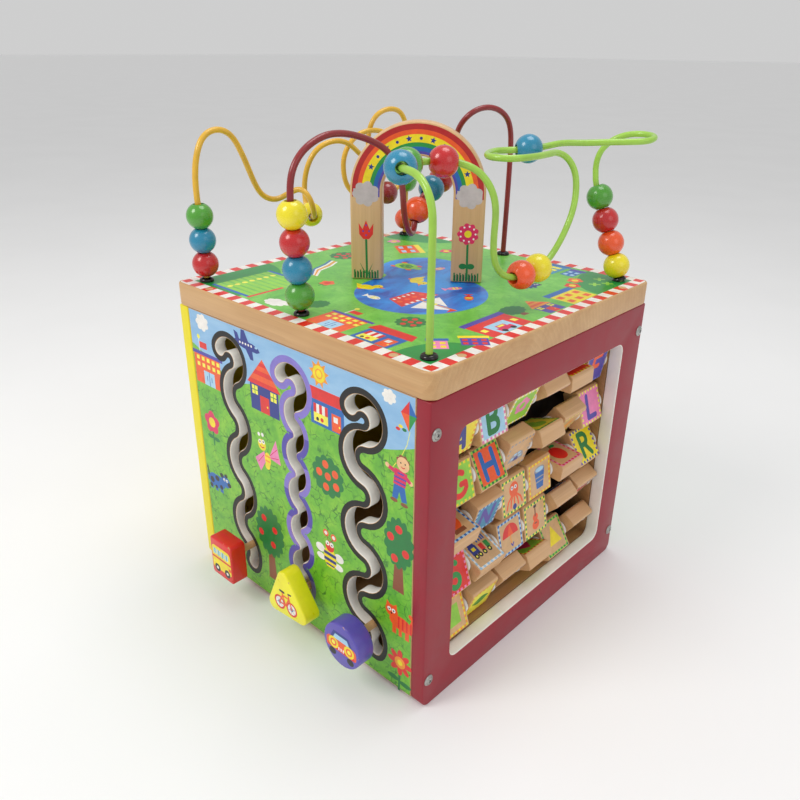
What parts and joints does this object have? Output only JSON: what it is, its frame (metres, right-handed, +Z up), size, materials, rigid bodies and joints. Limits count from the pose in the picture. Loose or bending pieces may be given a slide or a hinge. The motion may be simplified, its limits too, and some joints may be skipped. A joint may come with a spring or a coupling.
{
  "type": "baby activity cube",
  "caption": "Wooden activity cube with a bead maze and rainbow arch on its top board, winding tracks with sliding knobs on one face, and a window of spinning picture tiles on another.",
  "frame": {"origin": "middle of the base, on the surface the cube stands on", "axes": "+Z up; -Y is the face with the winding tracks; +X is the face with the tile window"},
  "size_m": [0.35, 0.387, 0.506],
  "materials": {
    "natural_wood": "clear satin lacquer",
    "plain_board": "bare board",
    "tile_wood": "printed face and back, satin",
    "red_paint": "satin paint",
    "yellow_paint": "satin paint",
    "printed_wood": "printed, satin",
    "wire_yellow": "glossy plastic coating",
    "wire_red": "glossy plastic coating",
    "wire_green": "glossy plastic coating",
    "red_knob": "gloss paint",
    "yellow_knob": "gloss paint",
    "purple_knob": "gloss paint",
    "bead_red": "gloss paint",
    "bead_dark_red": "gloss paint",
    "bead_orange": "gloss paint",
    "bead_yellow": "gloss paint",
    "bead_green": "gloss paint",
    "bead_blue": "gloss paint"
  },
  "bodies": {
    "cube": {"top_board": "natural_wood", "window_panel": "red_paint", "yellow_panel": "yellow_paint", "track_panel": "printed_wood", "back_panel": "printed_wood", "bottom_board": "plain_board", "tile_rack": "natural_wood", "rainbow_arch": "natural_wood", "yellow_wire": "wire_yellow", "red_wire": "wire_red", "green_wire": "wire_green"},
    "tile_r1c1": {"tile_r1c1": "tile_wood"},
    "tile_r1c2": {"tile_r1c2": "tile_wood"},
    "tile_r1c3": {"tile_r1c3": "tile_wood"},
    "tile_r1c4": {"tile_r1c4": "tile_wood"},
    "tile_r1c5": {"tile_r1c5": "tile_wood"},
    "tile_r1c6": {"tile_r1c6": "tile_wood"},
    "tile_r2c1": {"tile_r2c1": "tile_wood"},
    "tile_r2c2": {"tile_r2c2": "tile_wood"},
    "tile_r2c3": {"tile_r2c3": "tile_wood"},
    "tile_r2c4": {"tile_r2c4": "tile_wood"},
    "tile_r2c5": {"tile_r2c5": "tile_wood"},
    "tile_r2c6": {"tile_r2c6": "tile_wood"},
    "tile_r3c1": {"tile_r3c1": "tile_wood"},
    "tile_r3c2": {"tile_r3c2": "tile_wood"},
    "tile_r3c3": {"tile_r3c3": "tile_wood"},
    "tile_r3c4": {"tile_r3c4": "tile_wood"},
    "tile_r3c5": {"tile_r3c5": "tile_wood"},
    "tile_r3c6": {"tile_r3c6": "tile_wood"},
    "tile_r4c1": {"tile_r4c1": "tile_wood"},
    "tile_r4c2": {"tile_r4c2": "tile_wood"},
    "tile_r4c3": {"tile_r4c3": "tile_wood"},
    "tile_r4c4": {"tile_r4c4": "tile_wood"},
    "tile_r4c5": {"tile_r4c5": "tile_wood"},
    "tile_r4c6": {"tile_r4c6": "tile_wood"},
    "tile_r5c1": {"tile_r5c1": "tile_wood"},
    "tile_r5c2": {"tile_r5c2": "tile_wood"},
    "tile_r5c3": {"tile_r5c3": "tile_wood"},
    "tile_r5c4": {"tile_r5c4": "tile_wood"},
    "tile_r5c5": {"tile_r5c5": "tile_wood"},
    "tile_r5c6": {"tile_r5c6": "tile_wood"},
    "bus_knob": {"bus_knob": "red_knob"},
    "bicycle_knob": {"bicycle_knob": "yellow_knob"},
    "car_knob": {"car_knob": "purple_knob"},
    "left_front_stack": {"left_front_stack": "bead_red"},
    "yellow_dip_bead": {"yellow_dip_bead": "bead_yellow"},
    "dark_red_bead": {"dark_red_bead": "bead_dark_red"},
    "orange_left_bead": {"orange_left_bead": "bead_orange"},
    "green_back_bead": {"green_back_bead": "bead_green"},
    "orange_back_bead": {"orange_back_bead": "bead_orange"},
    "middle_front_stack": {"middle_front_stack": "bead_yellow"},
    "orange_middle_bead": {"orange_middle_bead": "bead_orange"},
    "blue_red_pair": {"blue_red_pair": "bead_blue"},
    "yellow_middle_bead": {"yellow_middle_bead": "bead_yellow"},
    "blue_front_bead": {"blue_front_bead": "bead_blue"},
    "green_front_bead": {"green_front_bead": "bead_green"},
    "red_front_bead": {"red_front_bead": "bead_red"},
    "orange_yellow_pair": {"orange_yellow_pair": "bead_orange"},
    "blue_loop_bead": {"blue_loop_bead": "bead_blue"},
    "right_back_stack": {"right_back_stack": "bead_green"}
  },
  "joints": [
    {"name": "tile_r1c1_spin", "type": "hinge", "parent": "cube", "child": "tile_r1c1", "pos_m": [0.1475, -0.1125, 0.2585], "axis": [0, 1, 0], "continuous": true},
    {"name": "tile_r1c2_spin", "type": "hinge", "parent": "cube", "child": "tile_r1c2", "pos_m": [0.1475, -0.0675, 0.2585], "axis": [0, 1, 0], "continuous": true},
    {"name": "tile_r1c3_spin", "type": "hinge", "parent": "cube", "child": "tile_r1c3", "pos_m": [0.1475, -0.0225, 0.2585], "axis": [0, 1, 0], "continuous": true},
    {"name": "tile_r1c4_spin", "type": "hinge", "parent": "cube", "child": "tile_r1c4", "pos_m": [0.1475, 0.0225, 0.2585], "axis": [0, 1, 0], "continuous": true},
    {"name": "tile_r1c5_spin", "type": "hinge", "parent": "cube", "child": "tile_r1c5", "pos_m": [0.1475, 0.0675, 0.2585], "axis": [0, 1, 0], "continuous": true},
    {"name": "tile_r1c6_spin", "type": "hinge", "parent": "cube", "child": "tile_r1c6", "pos_m": [0.1475, 0.1125, 0.2585], "axis": [0, 1, 0], "continuous": true},
    {"name": "tile_r2c1_spin", "type": "hinge", "parent": "cube", "child": "tile_r2c1", "pos_m": [0.1475, -0.1125, 0.2085], "axis": [0, 1, 0], "continuous": true},
    {"name": "tile_r2c2_spin", "type": "hinge", "parent": "cube", "child": "tile_r2c2", "pos_m": [0.1475, -0.0675, 0.2085], "axis": [0, 1, 0], "continuous": true},
    {"name": "tile_r2c3_spin", "type": "hinge", "parent": "cube", "child": "tile_r2c3", "pos_m": [0.1475, -0.0225, 0.2085], "axis": [0, 1, 0], "continuous": true},
    {"name": "tile_r2c4_spin", "type": "hinge", "parent": "cube", "child": "tile_r2c4", "pos_m": [0.1475, 0.0225, 0.2085], "axis": [0, 1, 0], "continuous": true},
    {"name": "tile_r2c5_spin", "type": "hinge", "parent": "cube", "child": "tile_r2c5", "pos_m": [0.1475, 0.0675, 0.2085], "axis": [0, 1, 0], "continuous": true},
    {"name": "tile_r2c6_spin", "type": "hinge", "parent": "cube", "child": "tile_r2c6", "pos_m": [0.1475, 0.1125, 0.2085], "axis": [0, 1, 0], "continuous": true},
    {"name": "tile_r3c1_spin", "type": "hinge", "parent": "cube", "child": "tile_r3c1", "pos_m": [0.1475, -0.1125, 0.1585], "axis": [0, 1, 0], "continuous": true},
    {"name": "tile_r3c2_spin", "type": "hinge", "parent": "cube", "child": "tile_r3c2", "pos_m": [0.1475, -0.0675, 0.1585], "axis": [0, 1, 0], "continuous": true},
    {"name": "tile_r3c3_spin", "type": "hinge", "parent": "cube", "child": "tile_r3c3", "pos_m": [0.1475, -0.0225, 0.1585], "axis": [0, 1, 0], "continuous": true},
    {"name": "tile_r3c4_spin", "type": "hinge", "parent": "cube", "child": "tile_r3c4", "pos_m": [0.1475, 0.0225, 0.1585], "axis": [0, 1, 0], "continuous": true},
    {"name": "tile_r3c5_spin", "type": "hinge", "parent": "cube", "child": "tile_r3c5", "pos_m": [0.1475, 0.0675, 0.1585], "axis": [0, 1, 0], "continuous": true},
    {"name": "tile_r3c6_spin", "type": "hinge", "parent": "cube", "child": "tile_r3c6", "pos_m": [0.1475, 0.1125, 0.1585], "axis": [0, 1, 0], "continuous": true},
    {"name": "tile_r4c1_spin", "type": "hinge", "parent": "cube", "child": "tile_r4c1", "pos_m": [0.1475, -0.1125, 0.1085], "axis": [0, 1, 0], "continuous": true},
    {"name": "tile_r4c2_spin", "type": "hinge", "parent": "cube", "child": "tile_r4c2", "pos_m": [0.1475, -0.0675, 0.1085], "axis": [0, 1, 0], "continuous": true},
    {"name": "tile_r4c3_spin", "type": "hinge", "parent": "cube", "child": "tile_r4c3", "pos_m": [0.1475, -0.0225, 0.1085], "axis": [0, 1, 0], "continuous": true},
    {"name": "tile_r4c4_spin", "type": "hinge", "parent": "cube", "child": "tile_r4c4", "pos_m": [0.1475, 0.0225, 0.1085], "axis": [0, 1, 0], "continuous": true},
    {"name": "tile_r4c5_spin", "type": "hinge", "parent": "cube", "child": "tile_r4c5", "pos_m": [0.1475, 0.0675, 0.1085], "axis": [0, 1, 0], "continuous": true},
    {"name": "tile_r4c6_spin", "type": "hinge", "parent": "cube", "child": "tile_r4c6", "pos_m": [0.1475, 0.1125, 0.1085], "axis": [0, 1, 0], "continuous": true},
    {"name": "tile_r5c1_spin", "type": "hinge", "parent": "cube", "child": "tile_r5c1", "pos_m": [0.1475, -0.1125, 0.0585], "axis": [0, 1, 0], "continuous": true},
    {"name": "tile_r5c2_spin", "type": "hinge", "parent": "cube", "child": "tile_r5c2", "pos_m": [0.1475, -0.0675, 0.0585], "axis": [0, 1, 0], "continuous": true},
    {"name": "tile_r5c3_spin", "type": "hinge", "parent": "cube", "child": "tile_r5c3", "pos_m": [0.1475, -0.0225, 0.0585], "axis": [0, 1, 0], "continuous": true},
    {"name": "tile_r5c4_spin", "type": "hinge", "parent": "cube", "child": "tile_r5c4", "pos_m": [0.1475, 0.0225, 0.0585], "axis": [0, 1, 0], "continuous": true},
    {"name": "tile_r5c5_spin", "type": "hinge", "parent": "cube", "child": "tile_r5c5", "pos_m": [0.1475, 0.0675, 0.0585], "axis": [0, 1, 0], "continuous": true},
    {"name": "tile_r5c6_spin", "type": "hinge", "parent": "cube", "child": "tile_r5c6", "pos_m": [0.1475, 0.1125, 0.0585], "axis": [0, 1, 0], "continuous": true},
    {"name": "bus_track", "type": "hinge", "parent": "cube", "child": "bus_knob", "pos_m": [-0.10102, -0.2, 0.046], "axis": [0, 1, 0], "range_deg": [-23, 58]},
    {"name": "bicycle_track", "type": "hinge", "parent": "cube", "child": "bicycle_knob", "pos_m": [-0.00111, -0.2, 0.054], "axis": [0, 1, 0], "range_deg": [-60, 16]},
    {"name": "car_track", "type": "hinge", "parent": "cube", "child": "car_knob", "pos_m": [0.09462, -0.2, 0.044], "axis": [0, 1, 0], "range_deg": [-24, 76]},
    {"name": "left_front_stack_slide", "type": "slide", "parent": "cube", "child": "left_front_stack", "axis": [0, 0, 1], "range_m": [0, 0.03]},
    {"name": "yellow_dip_bead_travel", "type": "hinge", "parent": "cube", "child": "yellow_dip_bead", "pos_m": [-0.14705, -0.02316, 0.44585], "axis": [0.4702, 0.8687, 0.1558], "range_deg": [-4.96, 3.47]},
    {"name": "dark_red_bead_travel", "type": "hinge", "parent": "cube", "child": "dark_red_bead", "pos_m": [-0.2058, 0.11866, 0.43663], "axis": [-0.3481, 0.3682, -0.8621], "range_deg": [-1.44, 0.58]},
    {"name": "orange_left_bead_travel", "type": "hinge", "parent": "cube", "child": "orange_left_bead", "pos_m": [-0.15193, 0.08031, 0.42684], "axis": [-0.8442, 0.5181, -0.1377], "range_deg": [-2.82, 0]},
    {"name": "green_back_bead_slide", "type": "slide", "parent": "cube", "child": "green_back_bead", "axis": [0, 0.0172, 0.9999], "range_m": [-0.01, 0.03]},
    {"name": "orange_back_bead_slide", "type": "slide", "parent": "cube", "child": "orange_back_bead", "axis": [0, 0.0172, 0.9999], "range_m": [0, 0.01]},
    {"name": "middle_front_stack_slide", "type": "slide", "parent": "cube", "child": "middle_front_stack", "axis": [0, -0.0555, 0.9985], "range_m": [0, 0.008]},
    {"name": "orange_middle_bead_travel", "type": "hinge", "parent": "cube", "child": "orange_middle_bead", "pos_m": [-0.00317, 0.03978, 0.39598], "axis": [-0.9917, 0.0544, -0.1165], "range_deg": [-5.61, 0.8]},
    {"name": "blue_red_pair_travel", "type": "hinge", "parent": "cube", "child": "blue_red_pair", "pos_m": [-0.15165, 0.05946, 0.21505], "axis": [-0.8009, -0.3503, 0.4857], "range_deg": [-0.44, 0]},
    {"name": "yellow_middle_bead_travel", "type": "hinge", "parent": "cube", "child": "yellow_middle_bead", "pos_m": [-0.02946, 0.06515, 0.48039], "axis": [0.8254, 0.53, 0.1944], "range_deg": [0, 2.59]},
    {"name": "blue_front_bead_travel", "type": "hinge", "parent": "cube", "child": "blue_front_bead", "pos_m": [0.12667, -0.09777, 0.48022], "axis": [0.0958, 0.0146, -0.9953], "range_deg": [-10.6, 1.32]},
    {"name": "green_front_bead_travel", "type": "hinge", "parent": "cube", "child": "green_front_bead", "pos_m": [0.13236, -0.08485, 0.48018], "axis": [0.1002, -0.0166, -0.9948], "range_deg": [-1.56, 7.3]},
    {"name": "red_front_bead_travel", "type": "hinge", "parent": "cube", "child": "red_front_bead", "pos_m": [0.12393, -0.1025, 0.45071], "axis": [-0.3461, 0.2735, -0.8974], "range_deg": [-4.65, 8.27]},
    {"name": "orange_yellow_pair_travel", "type": "hinge", "parent": "cube", "child": "orange_yellow_pair", "pos_m": [0.044, 0.00688, 0.43551], "axis": [0.5481, -0.0952, 0.831], "range_deg": [-0.68, 0.94]},
    {"name": "blue_loop_bead_travel", "type": "hinge", "parent": "cube", "child": "blue_loop_bead", "pos_m": [0.04674, 0.09168, 0.48715], "axis": [0.0921, -0.2057, 0.9743], "range_deg": [-4.82, 7.72]},
    {"name": "right_back_stack_slide", "type": "slide", "parent": "cube", "child": "right_back_stack", "axis": [-0.3549, -0.0173, 0.9348], "range_m": [0, 0.008]}
  ]
}
